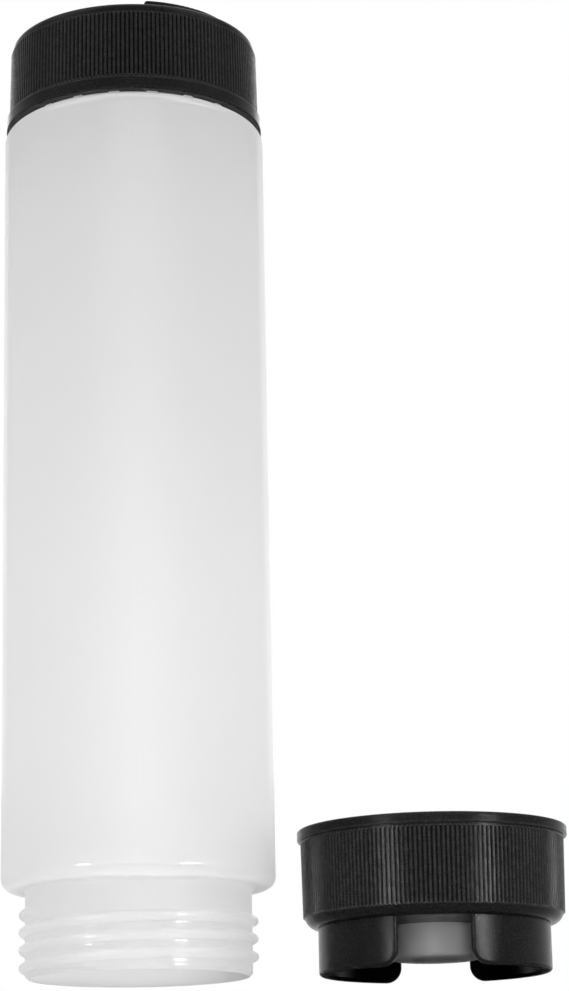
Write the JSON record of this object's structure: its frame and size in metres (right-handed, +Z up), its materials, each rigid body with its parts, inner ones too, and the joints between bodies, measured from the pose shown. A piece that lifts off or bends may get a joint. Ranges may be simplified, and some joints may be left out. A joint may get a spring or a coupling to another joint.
{
  "type": "squeeze bottle",
  "caption": "Double-ended condiment squeeze bottle: translucent body with a screw neck at each end, ribbed refill cap, and a footed dispensing cap with a slit valve, taken off.",
  "frame": {"origin": "centre of the lower neck's rim, on the surface that the bottle stands on", "axes": "+Z up along the bottle's axis towards the refill cap, +X towards the dispensing cap that stands beside it, -Y towards the viewer"},
  "size_m": [0.1368, 0.066, 0.2404],
  "materials": {
    "translucent_plastic": "translucent satin",
    "black_plastic": "satin",
    "grey_plastic": "satin",
    "silicone": "matte",
    "liner_foam": "matte"
  },
  "bodies": {
    "bottle": {"bottle": "translucent_plastic"},
    "refill_seal": {"refill_seal": "liner_foam"},
    "refill_cap": {"refill_cap": "black_plastic"},
    "dispensing_cap": {"dispensing_cap": "black_plastic", "dispensing_seal": "liner_foam", "nozzle_collar": "grey_plastic", "slit_valve": "silicone", "valve_clamp_ring": "grey_plastic"}
  },
  "joints": [
    {"name": "refill_cap_rise", "type": "slide", "parent": "bottle", "child": "refill_seal", "axis": [0, 0, 1], "range_m": [0, 0.0255]},
    {"name": "refill_cap_turn", "type": "hinge", "parent": "refill_seal", "child": "refill_cap", "pos_m": [0, 0, 0.2348], "axis": [0, 0, 1], "range_deg": [0, 2160]},
    {"name": "dispensing_cap_lift", "type": "slide", "parent": "bottle", "child": "dispensing_cap", "axis": [0, 0, 1], "range_m": [0, 0.075]}
  ],
  "couplings": [
    {"joint": "refill_cap_rise", "follows": "refill_cap_turn", "m_per_rad": 0.0006738}
  ]
}
